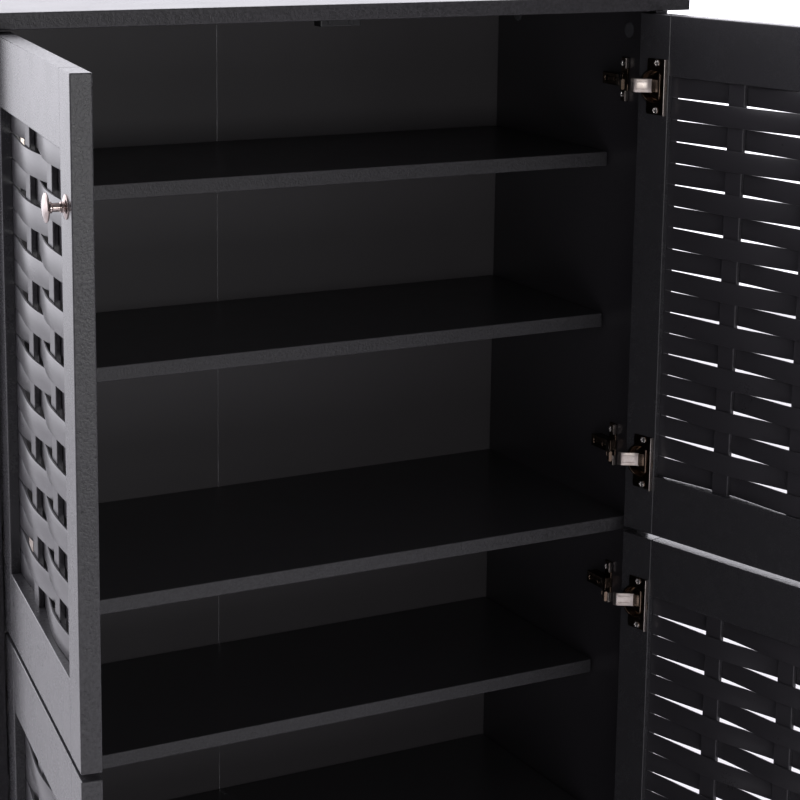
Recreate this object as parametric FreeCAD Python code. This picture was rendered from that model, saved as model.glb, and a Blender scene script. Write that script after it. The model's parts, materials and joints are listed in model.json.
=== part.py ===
import FreeCAD, Part
import os
import math

os.makedirs("parts", exist_ok=True)

# Shoe cabinet, millimetres, +Z up, the doors face -Y.
# The origin is on the floor under the middle of the plinth board.
# The doors are built standing open, which is how the cabinet rests.

# ---- boards and carcass ----
board = 15.0
inner_width = 698.0
carcass_depth = 308.0
compartment_height = 540.0
plinth_height = 75.0
plinth_setback = 22.0
back_thickness = 3.0
back_seam = 0.6
top_overhang_side = 16.0
top_overhang_front = 16.0
edge_round = 1.0
glide_thickness = 4.0

# ---- shelves ----
shelf_setback = 76.0
shelf_back_gap = 2.0
shelf_end_gap = 0.8
door_to_shelf_gap = 1.0
upper_shelf_levels = {"upper_shelf_high": 385.0, "upper_shelf_low": 210.0}
lower_shelf_levels = {"lower_shelf_high": 372.0, "lower_shelf_low": 197.0}
pin_diameter = 5.0
pin_depth = 9.0
pin_reach = 8.0
pin_clearance = 0.05
pin_inset = 34.0
pin_collar_diameter = 9.0
pin_collar_thickness = 1.5

# ---- doors ----
door_thickness = 17.0
door_side_gap = 2.0
door_middle_gap = 2.0
door_top_gap = 2.5
door_between_gap = 6.0
stile_width = 40.0
top_rail_height = 61.0
bottom_rail_height = 63.0
tenon_length = 9.0
tenon_thickness = 6.0
tenon_clearance = 0.1
bar_count = 2
bar_width = 20.0
bar_thickness = 5.0
slat_count = 19
slat_gap = 0.8
slat_thickness = 2.0
slat_to_bar_gap = 0.3
weave_inset = 1.5
slat_tongue = 1.2
groove_clearance = 0.2
left_opening = 99.0
right_opening = 103.0

# ---- door axis, measured from the side panel's front inner corner ----
axis_inward = 3.2
axis_back = 2.2

# ---- concealed hinges ----
cup_diameter = 35.0
cup_depth = 11.5
cup_wall = 0.9
cup_edge_distance = 3.0
cup_hole_clearance = 0.05
flange_length = 58.0
flange_width = 26.0
flange_thickness = 1.2
flange_offset = 4.5
flange_lip_height = 4.0
cup_screw_spacing = 48.0
screw_shank = 3.5
screw_head = 7.0
screw_head_height = 1.6
cup_screw_length = 11.0
plate_screw_length = 11.0
screw_clearance = 0.05
hinge_from_bottom = 76.0
hinge_from_top = 73.0
link_width = 14.0
link_thickness = 1.8
arm_width = 13.0
arm_thickness = 3.6
arm_back = 74.0
arm_bend_back = 44.0
arm_foot_height = 8.6
plate_screw_back = 49.0
plate_screw_spacing = 32.0
plate_thickness = 2.4
plate_wing_length = 46.0
plate_wing_width = 12.0
plate_body_length = 31.0
plate_body_width = 12.0
plate_body_height = 6.0

# ---- knobs, catches and small fittings ----
knob_from_top = 101.0
knob_base_diameter = 19.0
knob_base_thickness = 2.4
knob_stem_diameter = 8.0
knob_stem_length = 10.5
knob_head_diameter = 23.0
knob_head_thickness = 5.0
knob_tip_flat = 2.0
catch_width = 43.0
catch_height = 9.0
catch_depth = 15.0
strike_diameter = 14.0
strike_thickness = 0.8
strike_from_free_edge = 11.0
cam_diameter = 15.0
cam_depth = 11.0
cam_cap_thickness = 0.8
cam_cap_diameter = 16.5
cam_from_joint = 24.0
cam_front_distance = 46.0
cam_back_distance = 42.0
cam_clearance = 0.05
nail_diameter = 1.4
nail_head_diameter = 4.0
nail_head_thickness = 0.7
nail_length = 16.0
nail_clearance = 0.05
nail_hole_extra = 1.0
nail_pitch = 150.0
glide_diameter = 14.0
glide_pin_diameter = 3.0
glide_pin_length = 12.0
glide_end_distance = 30.0

# ---- derived levels and positions ----
half_inner = inner_width / 2
half_outer = half_inner + board
front = -(plinth_setback + board / 2)
back = front + carcass_depth
bottom_top = plinth_height + board
middle_bottom = bottom_top + compartment_height
middle_top = middle_bottom + board
top_bottom = middle_top + compartment_height
total_height = top_bottom + board
behind_doors = front + door_thickness + door_to_shelf_gap
shelf_front = front + shelf_setback
shelf_back = back - shelf_back_gap
door_width = (inner_width - door_middle_gap) / 2 - door_side_gap
door_height = (top_bottom - bottom_top - 2 * door_top_gap - door_between_gap) / 2
upper_door_bottom = top_bottom - door_top_gap - door_height
lower_door_bottom = bottom_top + door_top_gap
window_width = door_width - 2 * stile_width
window_height = door_height - top_rail_height - bottom_rail_height
slat_pitch = window_height / slat_count
slat_height = slat_pitch - slat_gap
bay_width = (window_width - bar_count * bar_width) / (bar_count + 1)
middle_plane = door_thickness / 2
weave_plane = middle_plane - weave_inset
weave_reach = (bar_thickness + slat_thickness) / 2 + slat_to_bar_gap
cup_centre = cup_edge_distance + cup_diameter / 2
hinge_levels = (hinge_from_bottom, door_height - hinge_from_top)
axis_u = axis_inward - door_side_gap
axis_v = door_thickness - axis_back


def point(x, y, z=0.0):
    return FreeCAD.Vector(x, y, z)


def block(x_from, x_to, y_from, y_to, z_from, z_to):
    """A square-edged block between two opposite corners."""
    size = (x_to - x_from, y_to - y_from, z_to - z_from)
    return Part.makeBox(size[0], size[1], size[2], point(x_from, y_from, z_from))


def eased(shape, radius):
    """The shape with every straight edge rounded over."""
    return shape.makeFillet(radius, shape.Edges)


def peg(diameter, length, start, direction):
    """A round peg from its start point along a direction."""
    return Part.makeCylinder(diameter / 2, length, start, direction)


def upright_plate(corners, z_from, z_to):
    """A flat outline seen from above, raised between two levels."""
    path = Part.makePolygon([point(x, y, z_from) for x, y in corners + corners[:1]])
    return Part.Face(path).extrude(point(0, 0, z_to - z_from))


def save(shape, name):
    shape.exportStep("parts/" + name + ".step")


def save_group(shapes, name):
    Part.makeCompound(shapes).exportStep("parts/" + name + ".step")


# ---- carcass fittings: where pins, cams, nails and plates go ----
all_shelf_tops = {}
for shelf_name, level in upper_shelf_levels.items():
    all_shelf_tops[shelf_name] = middle_top + level
for shelf_name, level in lower_shelf_levels.items():
    all_shelf_tops[shelf_name] = bottom_top + level

pin_rows = (shelf_front + pin_inset, shelf_back - pin_inset)
cam_rows = (front + cam_front_distance, back - cam_back_distance)
door_levels = {"upper": upper_door_bottom, "lower": lower_door_bottom}
sides = {"left": -1, "right": 1}

pins = []
pin_holes = []
for side in sides.values():
    for shelf_top in all_shelf_tops.values():
        for row in pin_rows:
            level = shelf_top - board - pin_diameter / 2
            outward = point(side, 0, 0)
            start = point(side * (half_inner - pin_reach), row, level)
            pin = peg(pin_diameter, pin_reach + pin_depth, start, outward)
            collar_start = point(side * (half_inner - pin_collar_thickness), row, level)
            collar_drop = pin_collar_diameter / 2 - pin_diameter / 2
            collar = peg(pin_collar_diameter, pin_collar_thickness, collar_start, outward)
            above = block(-half_outer, half_outer, row - board, row + board,
                          level + pin_diameter / 2, level + pin_diameter + collar_drop)
            pins.append(pin.fuse(collar.cut(above)))
            hole_start = point(side * half_inner, row, level)
            pin_holes.append(peg(pin_diameter + 2 * pin_clearance, pin_depth + 1, hole_start, outward))

cams = []
cam_holes = []
for side in sides.values():
    for row in cam_rows:
        centre = point(side * half_inner, row, top_bottom - cam_from_joint)
        outward = point(side, 0, 0)
        body = peg(cam_diameter - 2 * cam_clearance, cam_depth, centre, outward)
        cap_start = point(side * (half_inner - cam_cap_thickness), row, top_bottom - cam_from_joint)
        cams.append(body.fuse(peg(cam_cap_diameter, cam_cap_thickness, cap_start, outward)))
        cam_holes.append(peg(cam_diameter, cam_depth + 0.5, centre, outward))

nails = []
nail_holes = []
nail_spots = []
nail_rows = int(top_bottom // nail_pitch)
for side in sides.values():
    for index in range(nail_rows):
        level = nail_pitch * (index + 0.5) + board
        nail_spots.append((side * (half_inner + board / 2), level))
    for level in (middle_bottom + board / 2, plinth_height + board / 2):
        for across in (half_inner / 3, 2 * half_inner / 3):
            nail_spots.append((side * across, level))
for x, level in nail_spots:
    inward = point(0, -1, 0)
    outer_face = point(x, back + back_thickness, level)
    shank = peg(nail_diameter, nail_length, outer_face, inward)
    nails.append(shank.fuse(peg(nail_head_diameter, nail_head_thickness, outer_face, inward)))
    hole = peg(nail_diameter + 2 * nail_clearance, nail_length + nail_hole_extra, outer_face, inward)
    seat = peg(nail_head_diameter + 2 * nail_clearance, nail_head_thickness, outer_face, inward)
    nail_holes.append(hole.fuse(seat))

hinge_centres = [bottom + level for bottom in door_levels.values() for level in hinge_levels]
plate_screws = []
plate_screw_holes = []
for side in sides.values():
    for level in hinge_centres:
        for offset in (-plate_screw_spacing / 2, plate_screw_spacing / 2):
            outward = point(side, 0, 0)
            row = front + plate_screw_back
            seat = half_inner - plate_thickness
            head_start = point(side * (seat - screw_head_height), row, level + offset)
            shank_start = point(side * seat, row, level + offset)
            head = peg(screw_head, screw_head_height, head_start, outward)
            plate_screws.append(head.fuse(peg(screw_shank, plate_screw_length, shank_start, outward)))
            hole_length = plate_screw_length + 0.5
            hole = peg(screw_shank + 2 * screw_clearance, hole_length, shank_start, outward)
            plate_screw_holes.append(hole)

glides = []
glide_holes = []
for side in sides.values():
    for row in (front + glide_end_distance, back - glide_end_distance):
        x = side * (half_inner + board / 2)
        up = point(0, 0, 1)
        disc = peg(glide_diameter, glide_thickness, point(x, row, 0), up)
        spike = peg(glide_pin_diameter, glide_pin_length, point(x, row, glide_thickness), up)
        glides.append(eased(disc, edge_round).fuse(spike))
        hole_size = glide_pin_diameter + 2 * nail_clearance
        glide_holes.append(peg(hole_size, glide_pin_length + 0.5, point(x, row, glide_thickness), up))

# ---- carcass boards ----
top_half = half_outer + top_overhang_side
top_board = block(-top_half, top_half, front - top_overhang_front, back + back_thickness,
                  top_bottom, total_height)
save(eased(top_board, edge_round), "top_panel")

for name, side in sides.items():
    x_pair = sorted((side * half_inner, side * half_outer))
    panel = block(x_pair[0], x_pair[1], front, back, glide_thickness, top_bottom)
    panel = panel.cut(Part.makeCompound(pin_holes + cam_holes + nail_holes))
    panel = panel.cut(Part.makeCompound(plate_screw_holes + glide_holes))
    save(panel, name + "_side_panel")

bottom_board = block(-half_inner, half_inner, front, back, plinth_height, bottom_top)
save(bottom_board.cut(Part.makeCompound(nail_holes)), "bottom_panel")
middle_board = block(-half_inner, half_inner, behind_doors, back, middle_bottom, middle_top)
save(middle_board.cut(Part.makeCompound(nail_holes)), "middle_shelf")

for shelf_name, shelf_top in all_shelf_tops.items():
    half_shelf = half_inner - shelf_end_gap - pin_collar_thickness
    shelf = block(-half_shelf, half_shelf, shelf_front, shelf_back, shelf_top - board, shelf_top)
    save(eased(shelf, edge_round), shelf_name)

for name, side in sides.items():
    x_pair = sorted((side * back_seam / 2, side * half_outer))
    panel = block(x_pair[0], x_pair[1], back, back + back_thickness, plinth_height, top_bottom)
    save(panel.cut(Part.makeCompound(nail_holes)), "back_panel_" + name)

plinth_from = front + plinth_setback
plinth = block(-half_inner, half_inner, plinth_from, plinth_from + board, 0.0, plinth_height)
save(plinth, "plinth")

save_group(pins, "shelf_pins")
save_group(cams, "cam_locks")
save_group(nails, "back_nails")
save_group(plate_screws, "hinge_plate_screws")
save_group(glides, "floor_glides")

# ---- magnetic catches behind the meeting doors ----
catches = []
for low_face, board_face in ((top_bottom - catch_height, top_bottom), (bottom_top, bottom_top)):
    body = block(-catch_width / 2, catch_width / 2, behind_doors, behind_doors + catch_depth,
                 low_face, low_face + catch_height)
    free_edges = [edge for edge in body.Edges
                  if abs(edge.BoundBox.Center.z - board_face) > edge_round]
    catches.append(body.makeFillet(edge_round, free_edges))
save_group(catches, "magnetic_catches")

# ---- hinge plates and arms on the side panels ----
# Points are (inward from the side panel, back from the front edge).
arm_inner = arm_foot_height
arm_outer = arm_foot_height + arm_thickness
nose_clearance = 3.0
link_sweep = 24.6
nose_radius = link_sweep + nose_clearance
nose_tip_angle = 10.5
nose_turn = 30.5


def around_axis(radius, degrees):
    """A point at a radius round the door axis, in side panel terms."""
    angle = math.radians(degrees)
    return (axis_inward + radius * math.cos(angle), axis_back + radius * math.sin(angle))


arm_outline = [
    (arm_inner, arm_back),
    (arm_inner, arm_bend_back),
    around_axis(nose_radius, nose_tip_angle + nose_turn),
    around_axis(nose_radius, nose_tip_angle),
    around_axis(nose_radius + arm_thickness, nose_tip_angle),
    around_axis(nose_radius + arm_thickness, nose_tip_angle + nose_turn),
    (arm_outer, arm_bend_back + arm_thickness / 2),
    (arm_outer, arm_back),
]


def on_side(side, corners):
    """Side panel terms turned into places in the cabinet."""
    return [(side * (half_inner - inward), front + back_by) for inward, back_by in corners]


arms = []
plates = []
for side in sides.values():
    for level in hinge_centres:
        arm = upright_plate(on_side(side, arm_outline), level - arm_width / 2, level + arm_width / 2)
        arms.append(arm.makeFillet(edge_round, arm.Edges[:4]))
        body_outline = [(0.0, arm_back - plate_body_length), (arm_foot_height, arm_back - plate_body_length),
                        (arm_foot_height, arm_back), (0.0, arm_back)]
        body = upright_plate(on_side(side, body_outline), level - plate_body_width / 2,
                             level + plate_body_width / 2)
        wing_front = plate_screw_back - plate_wing_width / 2
        wing_outline = [(0.0, wing_front), (plate_thickness, wing_front),
                        (plate_thickness, wing_front + plate_wing_width),
                        (0.0, wing_front + plate_wing_width)]
        wing = upright_plate(on_side(side, wing_outline), level - plate_wing_length / 2,
                             level + plate_wing_length / 2)
        plates.append(body.fuse(wing).removeSplitter().cut(Part.makeCompound(plate_screw_holes)))
save_group(arms, "hinge_arms")
save_group(plates, "hinge_mounting_plates")


# ---- one door, drawn closed in its own plane ----
# u runs from the hinge edge, v from the inner face to the outer face, w upwards.
def weave_offset(u, first_side):
    """How far a slat leans out of the middle plane at a place along it."""
    first_bar = stile_width + bay_width + bar_width / 2
    second_bar = door_width - first_bar
    if u < first_bar:
        share = max(0.0, u - stile_width) / (first_bar - stile_width)
        lean = (1 - math.cos(math.pi * share)) / 2
    elif u < second_bar:
        share = (u - first_bar) / (second_bar - first_bar)
        lean = math.cos(math.pi * share)
    else:
        share = min(1.0, (u - second_bar) / (door_width - stile_width - second_bar))
        lean = -(1 + math.cos(math.pi * share)) / 2
    return first_side * weave_reach * lean


def slat_shape(first_side, w_from):
    """One thin slat bent past the two bars, with tongues for the stiles."""
    sample_count = 14
    start = stile_width - slat_tongue
    end = door_width - stile_width + slat_tongue
    step = (window_width) / sample_count
    stations = [stile_width + step * index for index in range(sample_count + 1)]
    edges = []
    for shift in (-slat_thickness / 2, slat_thickness / 2):
        places = [point(u, weave_plane + weave_offset(u, first_side) + shift, w_from) for u in stations]
        curve = Part.BSplineCurve()
        curve.interpolate(Points=places, InitialTangent=point(1, 0, 0), FinalTangent=point(1, 0, 0))
        edges.append((places, curve.toShape()))
    low_places, low_curve = edges[0]
    high_places, high_curve = edges[1]
    low_level = weave_plane - slat_thickness / 2
    high_level = weave_plane + slat_thickness / 2
    low_start = point(start, low_level, w_from)
    high_start = point(start, high_level, w_from)
    low_end = point(end, low_level, w_from)
    high_end = point(end, high_level, w_from)
    outline = Part.Wire([
        Part.makeLine(low_start, low_places[0]),
        low_curve,
        Part.makeLine(low_places[-1], low_end),
        Part.makeLine(low_end, high_end),
        Part.makeLine(high_end, high_places[-1]),
        high_curve,
        Part.makeLine(high_places[0], high_start),
        Part.makeLine(high_start, low_start),
    ])
    return Part.Face(outline).extrude(point(0, 0, slat_height))


def tenon(u_from, u_to, w_from, w_to, slack):
    """A tongue, or with slack the pocket that takes it."""
    half = tenon_thickness / 2 + slack
    return block(u_from, u_to, middle_plane - half, middle_plane + half, w_from, w_to)


rail_spans = {"top_rail": (door_height - top_rail_height, door_height),
              "bottom_rail": (0.0, bottom_rail_height)}
window_top = door_height - top_rail_height
tenon_inset = 10.0
pocket_slack = 0.5


def rail_tenon(span, from_hinge_side, slack, extra):
    """A rail's end tongue, or with slack its pocket in the stile."""
    low = span[0] + tenon_inset - slack
    high = span[1] - tenon_inset + slack
    if from_hinge_side:
        return tenon(stile_width - tenon_length - extra, stile_width, low, high, slack)
    far = door_width - stile_width
    return tenon(far, far + tenon_length + extra, low, high, slack)


def door_stile(hinge_side):
    """A full-height stile with rail pockets and the slat groove."""
    u_from = 0.0 if hinge_side else door_width - stile_width
    stile = eased(block(u_from, u_from + stile_width, 0.0, door_thickness, 0.0, door_height), edge_round)
    for span in rail_spans.values():
        stile = stile.cut(rail_tenon(span, hinge_side, tenon_clearance, pocket_slack))
    half = slat_thickness / 2 + groove_clearance
    deep = slat_tongue + pocket_slack
    groove_from = stile_width - deep if hinge_side else door_width - stile_width
    groove = block(groove_from, groove_from + deep, weave_plane - half, weave_plane + half,
                   bottom_rail_height, window_top)
    return stile.cut(groove)


def bar_places():
    """Where each upright bar starts, measured from the hinge edge."""
    return [stile_width + bay_width + index * (bay_width + bar_width) for index in range(bar_count)]


def bar_tongue(u, slack, extra):
    """The part of a bar that sits in both rails."""
    half = bar_thickness / 2 + slack
    return block(u - slack, u + bar_width + slack, weave_plane - half, weave_plane + half,
                 bottom_rail_height - tenon_length - extra, window_top + tenon_length + extra)


def door_rail(span):
    """A rail between the stiles, with end tongues and pockets for the bars."""
    rail = block(stile_width, door_width - stile_width, 0.0, door_thickness, span[0], span[1])
    rail = rail.fuse(rail_tenon(span, True, 0.0, 0.0)).fuse(rail_tenon(span, False, 0.0, 0.0))
    for u in bar_places():
        rail = rail.cut(bar_tongue(u, tenon_clearance, pocket_slack))
    return rail.removeSplitter()


def cup_screw_places(level):
    """Screw places (u, w) of one cup."""
    half = cup_screw_spacing / 2
    return [(cup_centre + flange_offset, level - half), (cup_centre + flange_offset, level + half)]


def cup_hole(level):
    """The round pocket for a cup, and its two screw holes."""
    outward = point(0, 1, 0)
    size = cup_diameter + 2 * cup_hole_clearance
    hole = peg(size, cup_depth + 0.3, point(cup_centre, 0, level), outward)
    for u, w in cup_screw_places(level):
        shank = screw_shank + 2 * screw_clearance
        hole = hole.fuse(peg(shank, cup_screw_length + 0.5, point(u, 0, w), outward))
    return hole


link_outline = [
    (cup_centre + 2.0, 7.0),
    (cup_edge_distance + 9.0, 1.5),
    (2.5, -8.6),
    (-1.2, -9.2),
    (-1.2, -9.2 - link_thickness),
    (2.5 + link_thickness, -9.0 - link_thickness),
    (cup_edge_distance + 10.0, -0.6),
    (cup_centre + 4.0, 5.2),
    (cup_centre + 4.0, cup_depth - cup_wall / 2),
    (cup_centre + 2.0, cup_depth - cup_wall / 2),
]


def hinge_cup(level):
    """One hinge cup with its flange and the link plate that leaves it."""
    outward = point(0, 1, 0)
    centre = point(cup_centre, 0, level)
    cup = peg(cup_diameter, cup_depth, centre, outward)
    flange_from = cup_centre + flange_offset - flange_width / 2
    flange = block(flange_from, flange_from + flange_width, -flange_thickness, 0.0,
                   level - flange_length / 2, level + flange_length / 2)
    flange_to = flange_from + flange_width
    lip = block(flange_to - flange_thickness, flange_to, -flange_lip_height, 0.0,
                level - flange_length / 2, level + flange_length / 2)
    corner_edges = [edge for edge in flange.Edges
                    if edge.BoundBox.XLength < edge_round and edge.BoundBox.ZLength < edge_round]
    flange = flange.makeFillet(edge_round, corner_edges).fuse(lip)
    hollow = peg(cup_diameter - 2 * cup_wall, cup_depth - cup_wall + flange_thickness,
                 point(cup_centre, -flange_thickness, level), outward)
    body = cup.fuse(flange).cut(hollow)
    for u, w in cup_screw_places(level):
        body = body.cut(peg(screw_shank + 2 * screw_clearance, 3 * flange_thickness,
                            point(u, -flange_thickness, w), outward))
    link = upright_plate(link_outline, level - link_width / 2, level + link_width / 2)
    return body.fuse(link).removeSplitter()


def cup_screw(u, w):
    """One screw holding a cup flange to the door."""
    outward = point(0, 1, 0)
    seat = -flange_thickness
    head = peg(screw_head, screw_head_height, point(u, seat - screw_head_height, w), outward)
    return head.fuse(peg(screw_shank, cup_screw_length, point(u, seat, w), outward))


def door_knob():
    """A turned knob: base disc, waisted stem and domed head."""
    base = knob_base_diameter / 2
    stem = knob_stem_diameter / 2
    head = knob_head_diameter / 2
    neck = door_thickness + knob_base_thickness
    under = neck + knob_stem_length
    end = under + knob_head_thickness
    outline = Part.Wire([
        Part.makeLine(point(0, door_thickness), point(base, door_thickness)),
        Part.makeLine(point(base, door_thickness), point(base, neck - knob_base_thickness / 2)),
        Part.makeLine(point(base, neck - knob_base_thickness / 2), point(stem, neck)),
        Part.makeLine(point(stem, neck), point(stem, under)),
        Part.makeLine(point(stem, under), point(head, under + knob_head_thickness / 3)),
        Part.Arc(point(head, under + knob_head_thickness / 3),
                 point(head * 0.72, end - knob_head_thickness / 5), point(knob_tip_flat, end)).toShape(),
        Part.makeLine(point(knob_tip_flat, end), point(0, end)),
        Part.makeLine(point(0, end), point(0, door_thickness)),
    ])
    knob = Part.Face(outline).revolve(point(0, 0), point(0, 1, 0), 360)
    return knob


def strike_plate(level):
    """The steel disc that meets the magnet at the free corner."""
    start = point(door_width - strike_from_free_edge, -strike_thickness, level)
    return peg(strike_diameter, strike_thickness, start, point(0, 1, 0))


def on_door(shape, side, bottom, opening):
    """A piece drawn in the closed door plane, put in its place and swung open."""
    placed = shape.copy()
    placed.translate(point(-half_inner + door_side_gap, 0, bottom))
    mirrored = placed.mirror(point(0, 0, 0), point(0, 1, 0))
    mirrored.translate(point(0, front + door_thickness, 0))
    swing = point(-half_inner + axis_inward, front + axis_back, 0)
    mirrored.rotate(swing, point(0, 0, 1), -opening)
    if side > 0:
        mirrored = mirrored.mirror(point(0, 0, 0), point(1, 0, 0))
    return mirrored


# A narrow stile lets the cups reach into the rails and slats, so the pockets are cut there too.
cup_pockets = Part.makeCompound([cup_hole(level) for level in hinge_levels])


def slat_rows(first_side):
    """All slats of one door; neighbours pass the bars on opposite sides."""
    rows = []
    for index in range(slat_count):
        w_from = window_top - (index + 1) * slat_pitch + slat_gap / 2
        slat = slat_shape(first_side if index % 2 == 0 else -first_side, w_from)
        rows.append(slat.cut(cup_pockets))
    return rows


hinge_stile = door_stile(True).cut(cup_pockets)

knob_piece = door_knob()
knob_piece.translate(point(door_width - stile_width / 2, 0, door_height - knob_from_top))

bars = []
for u in bar_places():
    bars.append(bar_tongue(u, 0.0, 0.0))

cups = [hinge_cup(level) for level in hinge_levels]
cup_screws = [cup_screw(u, w) for level in hinge_levels for u, w in cup_screw_places(level)]

door_pieces = {
    "hinge_stile": [hinge_stile],
    "free_stile": [door_stile(False)],
    "top_rail": [door_rail(rail_spans["top_rail"]).cut(cup_pockets)],
    "bottom_rail": [door_rail(rail_spans["bottom_rail"]).cut(cup_pockets)],
    "bars": bars,
    "knob": [knob_piece],
    "hinge_cups": cups,
    "cup_screws": cup_screws,
}
openings = {"left": left_opening, "right": right_opening}
first_sides = {"left": -1, "right": 1}
strike_end = strike_diameter / 2 + edge_round
strike_levels = {"upper": door_height - strike_end, "lower": strike_end}
for storey, bottom in door_levels.items():
    for name, side in sides.items():
        own_pieces = {"slats": slat_rows(first_sides[name]),
                      "strike_plate": [strike_plate(strike_levels[storey])]}
        for piece_name, solids in {**door_pieces, **own_pieces}.items():
            placed = [on_door(solid, side, bottom, openings[name]) for solid in solids]
            node = storey + "_" + name + "_" + piece_name
            if len(placed) == 1:
                save(placed[0], node)
            else:
                save_group(placed, node)
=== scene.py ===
"""Finish and studio set-up of a woven-door shoe cabinet.

Every part class holds its sizes in millimetres and builds closed surfaces with numpy.
Door pieces are drawn in a door's own frame: u runs from the hinge edge, v from the inner
face to the outer face and w upwards.  They are then swung open about the door's axis.
"""

import json
import logging
import math
from collections.abc import Callable, Sequence
from dataclasses import dataclass, field
from enum import Enum
from typing import Any, Union

import bpy
import numpy as np
from mathutils import Euler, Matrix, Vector

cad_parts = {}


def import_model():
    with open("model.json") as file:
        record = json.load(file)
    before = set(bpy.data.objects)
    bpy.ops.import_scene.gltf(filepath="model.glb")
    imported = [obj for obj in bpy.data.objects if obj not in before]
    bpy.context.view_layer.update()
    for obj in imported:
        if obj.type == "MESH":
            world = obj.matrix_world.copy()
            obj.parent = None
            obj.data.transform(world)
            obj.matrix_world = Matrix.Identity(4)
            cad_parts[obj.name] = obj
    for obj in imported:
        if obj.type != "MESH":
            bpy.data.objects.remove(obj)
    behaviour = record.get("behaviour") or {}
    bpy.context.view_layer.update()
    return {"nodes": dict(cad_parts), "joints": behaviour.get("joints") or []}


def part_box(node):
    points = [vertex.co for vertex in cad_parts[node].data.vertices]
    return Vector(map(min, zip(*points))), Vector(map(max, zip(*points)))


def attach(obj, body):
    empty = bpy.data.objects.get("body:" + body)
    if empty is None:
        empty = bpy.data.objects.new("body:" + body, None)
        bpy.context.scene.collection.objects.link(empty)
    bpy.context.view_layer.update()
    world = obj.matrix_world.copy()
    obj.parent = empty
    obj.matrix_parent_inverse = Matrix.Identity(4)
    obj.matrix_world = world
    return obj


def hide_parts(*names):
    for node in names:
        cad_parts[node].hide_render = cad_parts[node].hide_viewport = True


Array = np.ndarray
Pair = tuple[float, float]
Triple = tuple[float, float, float]
Socket = bpy.types.NodeSocket
Number = Union[float, "Wire"]
Value = Union[Sequence[float], Socket]
LOG = logging.getLogger("shoe_cabinet")
MM = 0.001
SHARP_ANGLE = 34.0
ROUND_LIMIT = 0.96


class Slot(Enum):
    """The cabinet's material slots."""

    TOP_BOARD = "top_board"
    SIDE_BOARD = "side_board"
    INNER_BOARD = "inner_board"
    BACK_BOARD = "back_board"
    DOOR_FRAME = "door_frame"
    DOOR_SLATS = "door_slats"
    DOOR_BARS = "door_bars"
    POLISHED_NICKEL = "polished_nickel"
    NICKEL_STEEL = "nickel_steel"
    # Nickel darkened to a brown: painted shade standing in for the dark interior that the plating
    # reflects.
    SMOKED_NICKEL = "smoked_nickel"
    BRIGHT_STEEL = "bright_steel"
    CAP_PLASTIC = "cap_plastic"
    BLACK_PLASTIC = "black_plastic"


class Side(Enum):
    """The hinge side of a door, as the sign of its X."""

    LEFT = -1
    RIGHT = 1


class Storey(Enum):
    """The two rows of doors."""

    UPPER = "upper"
    LOWER = "lower"


# ---- Shader maths ----


@dataclass(frozen=True)
class Wire:
    """A number socket that grows Math nodes when it is used in an expression."""

    recipe: "Recipe"
    socket: Socket

    def _math(self, operation: str, first: Number, second: Number) -> "Wire":
        """The result of one Math node."""
        made = self.recipe.node("ShaderNodeMath", {"operation": operation}, {0: first, 1: second})
        return Wire(self.recipe, made.outputs[0])

    def __add__(self, other: Number) -> "Wire":
        """This value plus another."""
        return self._math("ADD", self, other)

    def __radd__(self, other: Number) -> "Wire":
        """Another value plus this one."""
        return self._math("ADD", other, self)

    def __mul__(self, other: Number) -> "Wire":
        """This value times another."""
        return self._math("MULTIPLY", self, other)

    def __rmul__(self, other: Number) -> "Wire":
        """Another value times this one."""
        return self._math("MULTIPLY", other, self)


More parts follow.
